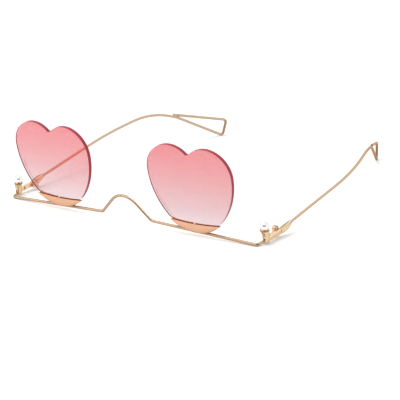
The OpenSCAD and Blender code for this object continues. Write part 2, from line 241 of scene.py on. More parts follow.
@dataclass(frozen=True)
class GoldPlating:
    """Gold plating on wire and castings, with painted light: a painted top tone on faces that look up,
    painted shade on undersides and in nooks, and a painted dark reflection along the outline.
    """

    tone: Rgb
    # glow: painted top tone on faces that look up, and the tone of the random rubbed patches.
    glow: Rgb
    # shade: painted shade on undersides and painted dark reflection along the outline.
    shade: Rgb
    # gap: painted shade in nooks and narrow gaps.
    gap: Rgb = (74, 40, 26)
    gleam: Rgb = (225, 190, 160)
    roughness: float = 0.3
    grain_rough: float = 0.12
    cloud_rough: float = 0.06
    lit: float = 0.95
    lit_at: Pair = (0.15, 0.8)
    rubbed: float = 0.5
    rubbed_from: float = 0.45
    under: float = 0.7
    under_at: Pair = (0.15, 1.0)
    outline: float = 0.45
    outline_at: Pair = (0.62, 1.0)
    closed: float = 0.9
    closed_at: Pair = (0.3, 0.95)
    nook_mm: float = 0.5
    cloud_mm: float = 4.0
    grain_mm: float = 0.12
    grain_depth_mm: float = 0.002
    relief: float = 0.5
    stretch: Triple = (1.0, 1.0, 1.0)

    def surface(self, s: Shader) -> Tap:
        """Paints the plating.

        Args:
            s: Shader of its material.

        Returns:
            Its surface.
        """
        up = s.part("Normal", "Z")
        cloud = s.noise(self.cloud_mm)
        grain = s.noise(self.grain_mm, FINE_DETAIL, self.stretch)
        # Painted light: faces that look up blend towards the glow tone.
        lit = s.blend(up.between(*self.lit_at) * self.lit, self.tone, self.glow)
        rubbed = s.blend((cloud - self.rubbed_from) * self.rubbed, lit, self.glow)
        # Painted shade on faces that look down.
        under = s.blend((0.0 - up).between(*self.under_at) * self.under, rubbed, self.shade)
        # Painted dark reflection where faces turn their edge to the eye.
        colour = s.blend(s.grazing(*self.outline_at) * self.outline, under, self.shade)
        # Painted shade in nooks and narrow gaps, from ambient occlusion.
        if self.nook_mm:
            closed = (1.0 - s.nook(self.nook_mm)).between(*self.closed_at)
            colour = s.blend(closed * self.closed, colour, self.gap)
        rough = self.roughness + grain.swing(self.grain_rough) + cloud.swing(self.cloud_rough)
        return s.principled(
            Base_Color=colour,
            Metallic=1.0,
            Roughness=rough.held(),
            Specular_Tint=tint(*self.gleam),
            Normal=s.bump(grain, self.grain_depth_mm, self.relief),
        )


@dataclass(frozen=True)
class LensTint:
    """Tinted lens plastic, pink at the top and nearly clear at the bottom."""

    top: Rgb = (255, 48, 70)
    bottom: Rgb = (204, 54, 84)
    alpha: Pair = (0.218, 0.495)
    fade_m: Pair = (0.008, 0.045)
    even: float = 0.45
    haze: float = 0.04
    haze_mm: float = 90.0
    # glow: strength of a weak emission in the tint's colour, which is painted light.
    glow: float = 0.02
    rough: Pair = (0.05, 0.08)
    rough_mm: float = 0.8
    edge_ior: float = 5.0
    edge_power: float = 8.0

    def surface(self, s: Shader) -> Tap:
        """Makes one layer of the tint.

        Args:
            s: Shader that gets the layer.

        Returns:
            The layer.
        """
        high = s.part("Object", "Z").between(*self.fade_m)
        haze = s.noise(self.haze_mm, 0.0).swing(self.haze)
        clear = 1.0 - high
        share = (high * self.even + (1.0 - clear * clear) * (1.0 - self.even) + haze).held()
        body = s.blend(share, self.bottom, self.top)
        return s.principled(
            Base_Color=body,
            # Painted light: the lens glows weakly in its own colour.
            Emission_Color=body,
            Emission_Strength=self.glow,
            Alpha=share.ranged(*self.alpha),
            Roughness=s.noise(self.rough_mm).ranged(*self.rough),
            IOR=1.25,
            Coat_Weight=0.08,
            Coat_Roughness=0.03,
        )

    def within(self, s: Shader, shell: Tap, inner: Tap | None = None) -> Tap:
        """Surface of the lens's edge: a shell outside, and inside only the tint or a given colour."""
        inside = s.tap("Fresnel", 0, {"IOR": self.edge_ior}) ** self.edge_power
        return s.tap("MixShader", 0, {0: inside, 1: shell, 2: inner or self.surface(s)})


@dataclass(frozen=True)
class LensRim:
    """Polished cut edge of the lens, through which light comes deep red."""

    lens: LensTint = LensTint()
    through: bool = True
    top: Rgb = (188, 76, 88)
    bottom: Rgb = (162, 66, 78)
    streak: Rgb = (146, 36, 50)
    # inner: painted shade on the front rim band, as seen from inside the lens.
    inner: Rgb = (98, 40, 56)
    fade_m: Pair = (0.006, 0.030)
    streak_mm: float = 0.25
    streak_stretch: Triple = (1, 6, 1)
    streak_from: float = 0.35
    streaked: float = 0.5
    rough: Pair = (0.12, 0.22)
    inner_rough: Pair = (0.2, 0.3)

    def surface(self, s: Shader) -> Tap:
        """Paints the rim.

        Args:
            s: Shader of its material.

        Returns:
            Its surface.
        """
        line = s.noise(self.streak_mm, stretch=self.streak_stretch)
        plain = s.blend(s.part("Object", "Z").between(*self.fade_m), self.bottom, self.top)
        body = s.blend((line - self.streak_from) * self.streaked, plain, self.streak)
        shell = s.principled(Base_Color=body, Roughness=line.ranged(*self.rough), IOR=1.16)
        if self.through:
            return self.lens.within(s, shell)
        # Seen from inside the lens, the front rim band is painted shade.
        rough = line.ranged(*self.inner_rough)
        dark = s.principled(Base_Color=tint(*self.inner), Roughness=rough, IOR=1.1)
        return self.lens.within(s, shell, dark)


@dataclass(frozen=True)
class LensBevel:
    """Narrow bevel between a lens's face and its rim, with a painted highlight on its faces that look up."""

    lens: LensTint = LensTint()
    bright: Rgb = (236, 150, 158)
    deep: Rgb = (196, 84, 98)
    painted_highlight_at: Pair = (-0.2, 0.6)
    rough: Pair = (0.1, 0.15)
    rough_mm: float = 0.6

    def surface(self, s: Shader) -> Tap:
        """Paints the bevel.

        Args:
            s: Shader of its material.

        Returns:
            Its surface.
        """
        # Painted highlight: faces that look up blend towards the bright colour.
        body = s.blend(s.part("Normal", "Z").between(*self.painted_highlight_at), self.deep, self.bright)
        rough = s.noise(self.rough_mm).ranged(*self.rough)
        shell = s.principled(Base_Color=body, Roughness=rough, IOR=1.2)
        return self.lens.within(s, shell)


@dataclass(frozen=True)
class Nacre:
    """Pearl: white with a soft cream play of colour, and a grey outline that is painted shade."""

    white: Rgb = (252, 252, 252)
    cream: Rgb = (246, 240, 234)
    grey: Rgb = (184, 180, 176)
    cream_at: Pair = (0.35, 0.75)
    outline: float = 0.85
    outline_at: Pair = (0.45, 0.8)
    mirror: Pair = (0.88, 0.02)
    cloud_mm: float = 1.6
    grain_mm: float = 0.3
    relief: Pair = (0.001, 0.3)
    rough: Pair = (0.08, 0.13)

    def surface(self, s: Shader) -> Tap:
        """Paints the pearl.

        Args:
            s: Shader of its material.

        Returns:
            Its surface.
        """
        cloud = s.noise(self.cloud_mm, FINE_DETAIL)
        # The grey outline is painted shade where the pearl turns its edge to the eye.
        rim = s.grazing(*self.outline_at)
        body = s.blend(cloud.between(*self.cream_at), self.white, self.cream)
        return s.principled(
            Base_Color=s.blend(rim * self.outline, body, self.grey),
            Metallic=rim.ranged(*self.mirror),
            Roughness=cloud.ranged(*self.rough),
            IOR=1.25,
            Coat_Weight=0.08,
            Coat_Roughness=0.04,
            Normal=s.bump(s.noise(self.grain_mm), *self.relief),
        )


@dataclass(frozen=True)
class BrushedSteel:
    """Screw steel with fine turning marks, and painted shade in nooks."""

    tone: Rgb = (212, 178, 136)
    bright: Rgb = (240, 215, 180)
    shade: Rgb = (120, 80, 52)
    marked: float = 0.4
    mark_mm: float = 0.1
    stretch: Triple = (1, 1, 0.3)
    relief: Pair = (0.003, 0.4)
    rough: Pair = (0.27, 0.42)
    nook_mm: float = 0.6
    closed_at: Pair = (0.15, 0.8)

    def surface(self, s: Shader) -> Tap:
        """Paints the steel.

        Args:
            s: Shader of its material.

        Returns:
            Its surface.
        """
        marks = s.noise(self.mark_mm, FINE_DETAIL, self.stretch)
        # Painted shade in nooks, from ambient occlusion.
        closed = (1.0 - s.nook(self.nook_mm)).between(*self.closed_at)
        return s.principled(
            Base_Color=s.blend(closed, s.blend(marks * self.marked, self.tone, self.bright), self.shade),
            Metallic=1.0,
            Roughness=marks.ranged(*self.rough),
            Normal=s.bump(marks, *self.relief),
        )


class Finish(Enum):
    """Every finish of the sunglasses, whose material has the same name in small letters."""

    GOLD_WIRE = GoldPlating((196, 166, 140), (172, 146, 118), (158, 120, 88), roughness=0.45, outline=0.3)
    TEMPLE_WIRE = GoldPlating((206, 180, 152), (208, 186, 158), (160, 134, 106), roughness=0.4, outline=0.2)
    LOOP_END_BAR = GoldPlating((168, 136, 106), (196, 164, 134), (98, 66, 46), outline=0.2)
    # Painted dark reflection, as a streak on the bridge and a spot in each corner of the front wire.
    WORN_WIRE = GoldPlating((104, 78, 52), (116, 90, 64), (80, 58, 40), roughness=0.4, outline=0.2)
    CUT_END = GoldPlating((52, 36, 26), (70, 50, 36), (34, 22, 16), roughness=0.45)
    CAST_GOLD = GoldPlating(
        (222, 196, 158),
        (255, 236, 204),
        (150, 108, 74),
        roughness=0.24,
        outline=0.6,
        grain_mm=0.25,
        grain_depth_mm=0.003,
    )
    # Painted highlight, on the block's chamfer, the butt's outer top corner and a streak on the bridge.
    BRIGHT_EDGE = GoldPlating((252, 230, 196), (255, 240, 212), (214, 180, 140), nook_mm=0.0)
    # Painted shade lines beside the painted highlights, on the block and the butt.
    EDGE_CREASE = GoldPlating((176, 146, 112), (184, 166, 138), (140, 106, 76), nook_mm=0.0)
    HINGE_GOLD = GoldPlating((234, 200, 174), (244, 214, 186), (186, 140, 112), nook_mm=0.35)
    SEAM_GOLD = GoldPlating((150, 116, 84), (160, 124, 88), (110, 78, 54), roughness=0.4)
    PEACH_GOLD = GoldPlating(
        (218, 176, 146),
        (240, 200, 170),
        (184, 140, 110),
        roughness=0.36,
        outline=0.2,
        stretch=(8, 1, 1),
        nook_mm=0.25,
    )
    HOLDER_TAB = GoldPlating((228, 178, 152), (240, 198, 174), (206, 156, 132), nook_mm=0.0)
    # Painted shade where the lens meets the holder's walls.
    HOLDER_LIP = GoldPlating((112, 50, 30), (128, 60, 38), (78, 30, 18), roughness=0.35)
    SOLDER = GoldPlating((214, 180, 146), (250, 228, 196), (150, 108, 76), grain_mm=0.3, grain_depth_mm=0.02)
    PEARL_GLUE = GoldPlating((226, 186, 158), (236, 200, 172), (210, 166, 136), nook_mm=0.0)
    # Painted shade on the cup's rim next to the pearl.
    CUP_LIP = GoldPlating((152, 104, 66), (168, 118, 78), (104, 62, 38), nook_mm=0.0)
    LENS_TINT = LensTint()
    LENS_RIM = LensRim()
    LENS_RIM_FRONT = LensRim(through=False)
    LENS_BEVEL = LensBevel()
    PEARL_NACRE = Nacre()
    SCREW_STEEL = BrushedSteel()

    @cache
    def material(self) -> Material:
        """Makes the finish's material, only once."""
        s = Shader(bpy.data.materials.new(self.name.lower()))
        return s.done(self.value.surface(s))


# Shaping


def arc(centre: Pair, radius: float, start: float, end: float, steps: int) -> list[Pair]:
    """Points of an arc in a plane from one angle to another, both ends among them."""
    angles = [start + (end - start) * n / steps for n in range(steps + 1)]
    return [(centre[0] + radius * math.cos(a), centre[1] + radius * math.sin(a)) for a in angles]


def circle(centre: Vector, first: Vector, second: Vector, radius: float, sides: int) -> Ring:
    """Points of a circle, from a first direction towards a second one, square to it."""
    flat = arc((0.0, 0.0), radius, 0.0, 2 * math.pi, sides)[:-1]
    return [centre + first * x + second * y for x, y in flat]


def put(name: str, data: ID) -> Object:
    """Puts a mesh, lamp or camera into the scene.

    Args:
        name: Name of the object.
        data: Its mesh, lamp or camera.

    Returns:
        The object.
    """
    made = bpy.data.objects.new(name, data)
    bpy.context.scene.collection.objects.link(made)
    return made


@dataclass(frozen=True)
class Bench:
    """Shapes meshes in the frame of the bar, and delivers them to the part's own frame.

    A bench has a side, but for the one that makes the piece across the middle.
    """

    side: Side | None = None
    middle_y: float = 66.7955837
    floor_z: float = -0.65
    cut_edge: float = 0.02

    def named(self, stem: str) -> str:
        """Name of a piece, node or body with the bench's side, if it has one."""
        return f"{stem}_{self.side.name.lower()}" if self.side else stem

    @staticmethod
    def raw(name: str, points: Sequence[Vector], faces: Sequence[Sequence[int]]) -> Object:
        """Makes a mesh object from points and faces.

        Args:
            name: Name of the object.
            points: Its points.
            faces: Its faces as numbers of points.

        Returns:
            The object.
        """
        mesh = bpy.data.meshes.new(name)
        mesh.from_pydata(points, [], faces)
        mesh.validate()
        work = bmesh.new()
        work.from_mesh(mesh)
        bmesh.ops.recalc_face_normals(work, faces=work.faces)
        work.to_mesh(mesh)
        work.free()
        return put(name, mesh)

    def loft(self, stem: str, rings: Sequence[Ring]) -> Object:
        """Joins rings with as many points each into a closed skin.

        Args:
            stem: Name of the object, without its side.
            rings: The rings in order.

        Returns:
            The object, whose last two faces close the first and the last ring.
        """
        count = len(rings[0])
        points = [p for ring in rings for p in ring]
        faces = []
        for low in range(0, len(points) - count, count):
            for i in range(count):
                j = (i + 1) % count
                faces.append([low + i, low + j, low + count + j, low + count + i])
        faces.append(list(range(count))[::-1])
        faces.append([len(points) - count + i for i in range(count)])
        return self.raw(self.named(stem), points, faces)

    def turned(self, stem: str, profile: Sequence[Pair], axis: Matrix, sides: int = 48) -> Object:
        """Turns a profile of radii and heights about the z of a frame, here called axis."""
        rings = [circle(Z * height, X, Y, radius, sides) for radius, height in profile]
        return self.loft(stem, [[axis @ p for p in ring] for ring in rings])

    def box(self, stem: str, low: Vector, high: Vector) -> Object:
        """Makes a box between two corners, with slightly rounded edges, for a cut."""
        flat = ((low.y, low.z), (high.y, low.z), (high.y, high.z), (low.y, high.z))
        rings = [[Vector((x, y, z)) for y, z in flat] for x in (low.x, high.x)]
        return self.soften(self.loft(stem, rings), self.cut_edge, 3)

    @staticmethod
    def _change(made: Object, kind: str, **settings: Any) -> Object:
        """Changes an object's mesh by a modifier.

        Args:
            made: The object.
            kind: Blender's name of the modifier.
            settings: Properties of the modifier.

        Returns:
            The object.
        """
        change = made.modifiers.new("change", kind)
        for key, value in settings.items():
            setattr(change, key, value)
        bpy.context.view_layer.update()
        graph = bpy.context.evaluated_depsgraph_get()
        mesh = bpy.data.meshes.new_from_object(made.evaluated_get(graph))
        made.modifiers.clear()
        made.data = mesh
        return made

    def soften(self, made: Object, width: float, segments: int = 2) -> Object:
        """Rounds an object's sharp edges by a width, in a number of segments."""
        sharp = {"limit_method": "ANGLE", "angle_limit": math.radians(SOFT_ANGLE)}
        return self._change(made, "BEVEL", width=width, segments=segments, **sharp)

    def carve(self, made: Object, tool: Object) -> None:
        """Takes a tool's shape away from an object, and removes the tool."""
        self._change(made, "BOOLEAN", operation="DIFFERENCE", object=tool, solver="EXACT")
        bpy.data.objects.remove(tool)

    @staticmethod
    def gather(made: Object, other: Object) -> None:
        """Puts another object's mesh into the first one's mesh.

        Args:
            made: The first object.
            other: The other, which is removed.
        """
        work = bmesh.new()
        work.from_mesh(made.data)
        work.from_mesh(other.data)
        bpy.data.objects.remove(other)
        work.to_mesh(made.data)
        work.free()

    def deliver(
        self,
        made: Object,
        slot: str,
        finish: Finish,
        node: str = "",
        frame: Matrix | None = None,
        skin: Sequence[Finish] = (),
        body: str = "front",
        sharp: float = 38.0,
    ) -> None:
        """Carries a piece into the part's frame, on the left mirrored, and dresses it on its body.

        Args:
            made: The piece.
            slot: Record's material slot; not used.
            finish: Its finish.
            node: CAD node that it stands for, without its side.
            frame: Frame in which it was shaped, in the frame of the bar.
            skin: Finishes of its faces in order, as far as they have their own.
            body: CAD body that it rides on.
            sharp: Least angle in degrees of an edge that stays crisp.
        """
        lift = Matrix.Translation((0, -self.middle_y, -self.floor_z))
        mirror = Matrix.Diagonal((-1 if self.side is Side.LEFT else 1, 1, 1, 1))
        made.data.transform(Matrix.Scale(MM, 4) @ mirror @ lift @ (frame or Matrix.Identity(4)))
        if self.side is Side.LEFT:
            made.data.flip_normals()
        used = list(dict.fromkeys((finish, *skin)))
        for each in used:
            made.data.materials.append(each.material())
        for face, own in zip(made.data.polygons, skin):
            face.material_index = used.index(own)
        made.data.shade_smooth()
        made.data.set_sharp_from_angle(angle=math.radians(sharp))
        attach(made, body)
        if node:
            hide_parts(self.named(node))
        LOG.info("%s on %s, %d faces", made.name, body, len(made.data.polygons))


# Wires


@dataclass
class BentWire:
    """Round wire along a path of straight lengths and bends."""

    path: Sequence[Vector]
    bends: Sequence[float]
    radius: float = 0.65
    sides: int = 24
    bend_steps: int = 14
    piece_len: float = 6.0
    rounding: float = 0.16
    end_shares: tuple[Pair, ...] = ((0.0, 1.0), (0.3, 0.45), (1.0, 0.0))

    def _centres(self) -> list[tuple[Vector, Vector]]:
        """Works out the wire's middle line.

        Returns:
            Places along it, each with the wire's direction there.
        """
        ways = [(b - a).normalized() for a, b in zip(self.path, self.path[1:])]
        line = [(self.path[0], ways[0])]
        for corner, before, after, bend_r in zip(self.path[1:], ways, ways[1:], self.bends):
            angle = before.angle(after)
            start = corner - before * bend_r * math.tan(angle / 2)
            inward = (after - before * before.dot(after)).normalized()
            centre = start + inward * bend_r
            last = line[-1][0]
            pieces = max(1, int((start - last).length / self.piece_len))
            line += [(last.lerp(start, n / pieces), before) for n in range(1, pieces)]
            for along, out in arc((0.0, 0.0), 1.0, 0.0, angle, self.bend_steps):
                spot = centre - inward * bend_r * along + before * bend_r * out
                line.append((spot, before * along + inward * out))
        return line + [(self.path[-1], ways[-1])]

    def rings(self) -> list[Ring]:
        """Works out the wire's rings, with a rounded edge at each cut end.

        Returns:
            The rings in order.
        """
        line = self._centres()
        (head, onward), (tail, outward) = line[0], line[-1]
        ends = [(self.rounding * on, self.radius - self.rounding * less) for on, less in self.end_shares]
        stations = [(head + onward * along, onward, radius) for along, radius in ends]
        stations += [(spot, way, self.radius) for spot, way in line[1:-1]]
        stations += [(tail - outward * along, outward, radius) for along, radius in ends[::-1]]
        across = onward.orthogonal()
        rings = []
        for spot, way, radius in stations:
            across = (across - way * across.dot(way)).normalized()
            rings.append(circle(spot, across, way.cross(across), radius, self.sides))
        return rings


@dataclass
class FrontWire:
    """The bent wire of the front: bar, bridge and the two short legs."""

    bench: Bench
    corner_x: float = 70.0
    foot_x: float = 14.1
    rise: float = 2.46
    wrap: float = 1.95
    slope: float = 46.0
    lean: float = 12.0
    bends: tuple[float, ...] = (1.0, 1.6, 9.5, 1.6, 1.0)
    leg: Triple = (0.9, 3.2, 0.6)
    leg_sunk: float = 1.5
    leg_y: float = 0.9
    streak_x: Pair = (3.6, 13.0)
    # Streaks on the bridge's faces that turn towards a given way: a painted dark reflection and a painted
    # highlight.
    painted_streaks: tuple[tuple[Finish, Triple, float], ...] = (
        (Finish.WORN_WIRE, (0.3, -0.91, 0.29), 14.0),
        (Finish.BRIGHT_EDGE, (0.68, -0.34, 0.65), 26.0),
    )
    # Spot in each corner on faces that look up and to the front: a painted dark reflection.
    painted_spot_r: float = 0.8
    painted_spot_up: float = 0.3

    def bar_at(self, x: float) -> Vector:
        """Finds the place on the middle of the right bar that lies x from the middle plane."""
        out = self.corner_x - x
        return Vector((x, -out * math.tan(math.radians(self.wrap)), out * math.tan(math.radians(self.rise))))

    def path(self) -> list[Vector]:
        """Works out the wire's corners.

        Returns:
            The corners, from one leg's end to the other's.
        """
        corner, foot, leg = self.bar_at(self.corner_x), self.bar_at(self.foot_x), Vector(self.leg)
        height = self.foot_x * math.tan(math.radians(self.slope))
        lean = math.radians(self.lean)
        top = Vector((0, foot.y - height * math.sin(lean), foot.z + height * math.cos(lean)))
        half = [corner + leg.normalized() * (leg.length + self.leg_sunk), corner, foot]
        return half + [top] + [Vector((-p.x, p.y, p.z)) for p in reversed(half)]

    def _finish(self, face: MeshPolygon) -> Finish:
        """Picks a face's finish: a painted dark reflection and a painted highlight as streaks on the bridge,
        a painted dark reflection as a spot in each corner, paler legs.

        Args:
            face: The face.

        Returns:
            Its finish.
        """
        spot, way = face.center, face.normal
        if self.streak_x[0] < spot.x < self.streak_x[1]:
            for finish, middle, turn in self.painted_streaks:
                if way.angle(Vector(middle)) < math.radians(turn):
                    return finish
        # Painted dark reflection in the corner.
        off = (Vector((abs(spot.x), spot.y, spot.z)) - self.bar_at(self.corner_x)).length
        if off < self.painted_spot_r and way.z > self.painted_spot_up and way.y < 0:
            return Finish.WORN_WIRE
        return Finish.TEMPLE_WIRE if spot.y > self.leg_y else Finish.GOLD_WIRE

    def build(self) -> None:
        """Makes the wire."""
        made = self.bench.loft("bar_and_bridge", BentWire(self.path(), self.bends).rings())
        skin = [self._finish(face) for face in made.data.polygons]
        self.bench.deliver(made, "gold_wire", Finish.GOLD_WIRE, "front_wire", skin=skin)


# Lenses and holders


@dataclass
class HeartLens:
    """Heart lens with bevelled edges, shaped in its own upright frame."""

    bench: Bench
    front: FrontWire
    middle_x: float = 38.9
    tilt: float = 9.0
    thickness: float = 1.9
    lobe_r: float = 12.75
    lobe_x: float = 9.55
    lobe_y: float = 28.3
    flank_r: float = 33.0
    heel_r: float = 26.0
    heel_y: float = 2.14
    notch_r: float = 1.2
    steps: tuple[int, ...] = (16, 18, 36, 8)
    bevel: float = 0.1
    strip: float = 0.6
    sharp: float = 20.0

    @property
    def frame(self) -> Matrix:
        """Frame of the right lens: x across it, y up it and z out of its front face."""
        turn = Euler((math.radians(90 + self.tilt), 0, math.radians(self.front.wrap))).to_matrix().to_4x4()
        return Matrix.Translation(self.front.bar_at(self.middle_x)) @ turn

    def heel_at(self, x: float) -> float:
        """Height of the lens's lower edge at x from the heart's middle line."""
        return self.heel_y + self.heel_r - math.sqrt(self.heel_r**2 - x**2)

    def outline(self, inset: float) -> list[Pair]:
        """Works out the heart's outline.

        Args:
            inset: How far inside the full outline it runs.

        Returns:
            Its points, all the way round.
        """
        flank_x = self.lobe_x + self.lobe_r - self.flank_r
        heel_c = self.heel_y + self.heel_r
        notch_c = self.lobe_y + math.sqrt((self.lobe_r + self.notch_r) ** 2 - self.lobe_x**2)
        heel_r, flank_r = self.heel_r - inset, self.flank_r - inset
        apart = Vector((flank_x, self.lobe_y - heel_c))
        along = (heel_r**2 - flank_r**2 + apart.length_squared) / (2 * apart.length)
        away = math.sqrt(heel_r**2 - along**2)
        unit = apart.normalized()
        meet = Vector((0, heel_c)) + unit * along + Vector((-unit.y, unit.x)) * away
        heel_end = math.atan2(meet.y - heel_c, meet.x)
        flank_start = math.atan2(meet.y - self.lobe_y, meet.x - flank_x)
        lobe_end = math.atan2(notch_c - self.lobe_y, -self.lobe_x)
        arcs = [
            ((0.0, heel_c), heel_r, -math.pi / 2, heel_end),
            ((flank_x, self.lobe_y), flank_r, flank_start, 0.0),
            ((self.lobe_x, self.lobe_y), self.lobe_r - inset, 0.0, lobe_end),
            ((0.0, notch_c), self.notch_r + inset, lobe_end - math.pi, -math.pi / 2),
        ]
        half = [point for part, steps in zip(arcs, self.steps) for point in arc(*part, steps)[:-1]]
        half.append((0.0, notch_c - self.notch_r - inset))
        return half + [(-x, y) for x, y in reversed(half[1:-1])]

    def build(self) -> None:
        """Makes the lens."""
        front, bevel = self.thickness / 2, self.bevel
        strip = front - bevel - self.strip
        layers = [(bevel, front), (0.0, front - bevel), (0.0, strip), (0.0, bevel - front), (bevel, -front)]
        rings = [[Vector((x, y, z)) for x, y in self.outline(inset)] for inset, z in layers]
        made = self.bench.loft("heart_lens", rings)
        bands = (Finish.LENS_BEVEL, Finish.LENS_RIM_FRONT, Finish.LENS_RIM, Finish.LENS_BEVEL)
        skin = [band for band in bands for _ in rings[0]]
        self.bench.deliver(made, "pink_lens", Finish.LENS_TINT, "lens", self.frame, skin, sharp=self.sharp)
        made.visible_glossy = False


@dataclass
class LensHolder:
    """Crescent plate with a slot for the lens, a tab and a pin, soldered on the bar."""

    bench: Bench
    lens: HeartLens
    half_w: float = 12.9
    top: float = 5.45
    dip: float = 0.75
    end_h: float = 0.8
    low: float = 0.2
    wall: float = 0.55
    play: float = 0.02
    back_drop: float = 1.25
    back_least: float = 0.05
    floor_least: float = 0.04
    edge: float = 0.42
    edge_share: float = 0.3
    belly_in: float = 0.42
    belly_h: float = 1.3
    belly_steps: int = 3
    stations: int = 72
    plain_rows: int = 9
    dark_rows: int = 10
    tab_r: float = 0.5
    tab_foot: float = 3.9
    tab_steps: int = 14
    tab_edge: float = 0.07
    pin_r: float = 0.25
    pin_y: float = 4.6
    pin_sunk: float = 0.5
    pin_edge: float = 0.05
    pin_dome: float = 0.03
    pin_sides: int = 24

    @property
    def near(self) -> float:
        """Distance from the lens's middle plane to the slot's wall."""
        return self.lens.thickness / 2 + self.play

    def _section(self, x: float) -> Ring:
        """Works out the plate's section across x.

        Args:
            x: Distance from the plate's middle.

        Returns:
            Points of the section, up the front wall and down the back wall.
        """
        rise = self.top - self.end_h + self.low
        arc_r = (self.half_w**2 + rise**2) / (2 * rise)
        hollow_r = (self.half_w**2 + self.dip**2) / (2 * self.dip)
        bottom = arc_r - self.low - math.sqrt(arc_r**2 - x**2)
        top = self.top - self.dip + hollow_r - math.sqrt(hollow_r**2 - x**2)
        outer = self.lens.thickness / 2 + self.wall
        back = max(bottom + self.back_least, top - self.back_drop)
        floor = max(bottom + self.floor_least, min(self.lens.heel_at(x), back - self.play))
        tall = min(self.belly_h, (back - bottom) / 2)
        deep = min(self.belly_in, tall)
        belly = arc((0.0, 0.0), 1.0, -math.pi / 2, 0.0, self.belly_steps)
        walls = []
        for high in (top, back):
            e = min(self.edge, (high - bottom) / 3)
            part = e * self.edge_share
            wall = [(outer - deep * (1 - out), bottom + tall * (1 + up)) for out, up in belly]
            wall += [(outer, high - e), (outer - part, high - part), (outer - e, high)]
            walls.append(wall + [(self.near, high), (self.near, floor)])
        return [Vector((x, y, z)) for z, y in walls[0] + [(-z, y) for z, y in reversed(walls[1])]]

    def _skin(self, count: int) -> list[Finish]:
        """Picks the finishes of the plate's faces, with the plain tip on the left as seen from in front.

        Faces 4 to 6 of a section make the front wall's top, 7 to 9 the slot and 10 the back wall's top. In
        the middle the front wall's top is painted shade where the lens meets it, and at the other tip its
        whole top, the slot and the end cap are painted shade.

        Args:
            count: Number of faces between two stations.

        Returns:
            The finishes.
        """
        turn = self.bench.side.value
        stretches = (
            (self.plain_rows, (), (6, 8, 9, 10)),
            (self.stations - self.plain_rows - self.dark_rows, (4, 5, 6), (8, 9, 10)),
            (self.dark_rows, range(4, 11), ()),
        )
        skin = []
        for rows, lip, slot in stretches[::turn]:
            own = dict.fromkeys(lip, Finish.HOLDER_LIP) | dict.fromkeys(slot, Finish.HOLDER_TAB)
            skin += [own.get(n, Finish.PEACH_GOLD) for n in range(count)] * rows
        return skin + [Finish.PEACH_GOLD, Finish.HOLDER_LIP][::turn]

    def _tab(self) -> Object:
        """Makes the tab on the front wall, through which the lens's pin runs.

        Returns:
            The tab.
        """
        flat = arc((0.0, self.pin_y), self.tab_r, 0.0, math.pi, self.tab_steps)
        flat += [(-self.tab_r, self.tab_foot), (self.tab_r, self.tab_foot)]
        faces = (self.near, self.near + self.wall - self.play)
        made = self.bench.loft("tab", [[Vector((x, y, z)) for x, y in flat] for z in faces])
        return self.bench.soften(made, self.tab_edge)

    def build(self) -> None:
        """Makes the holder."""
        bench, frame, tab = self.bench, self.lens.frame, Finish.HOLDER_TAB
        turns = [math.pi / 2 * (2 * n / self.stations - 1) for n in range(self.stations + 1)]
        rings = [self._section(self.half_w * math.sin(turn)) for turn in turns]
        made = bench.loft("crescent_holder", rings)
        skin = self._skin(len(rings[0]))
        bench.gather(made, self._tab())
        skin += [tab] * (len(made.data.polygons) - len(skin))
        bench.deliver(made, "peach_gold", Finish.PEACH_GOLD, "lens_holder", frame, skin)
        r, far = self.pin_r, self.near + self.wall
        profile = [(r, self.near - self.pin_sunk), (r, far), (r - self.pin_edge, far + self.pin_dome)]
        pin = bench.turned("short_pin", profile, Matrix.Translation(Y * self.pin_y), self.pin_sides)
        bench.deliver(pin, "gold_wire", tab, "lens_pin", frame)


# End pieces and hinges


@dataclass
class EndSizes:
    """Sizes that the end piece, the hinge and the butt share, in the leaning frame."""

    lean: float = 3.6
    block_x: float = 71.1
    block_w: float = 1.6
    block_low: float = 0.25
    block_h: float = 2.2
    seam_y: float = 15.25
    post_y: float = 5.0
    cup_in: float = 1.9
    hinge_x: float = 69.6
    hinge_y: float = 15.1
    barrel_low: float = 0.05
    barrel_h: float = 2.63

    @property
    def outer_x(self) -> float:
        """Outer face of the block."""
        return self.block_x + self.block_w

    @property
    def frame(self) -> Matrix:
        """Leaning frame of the end piece."""
        return Matrix.Rotation(math.radians(self.lean), 4, "X")


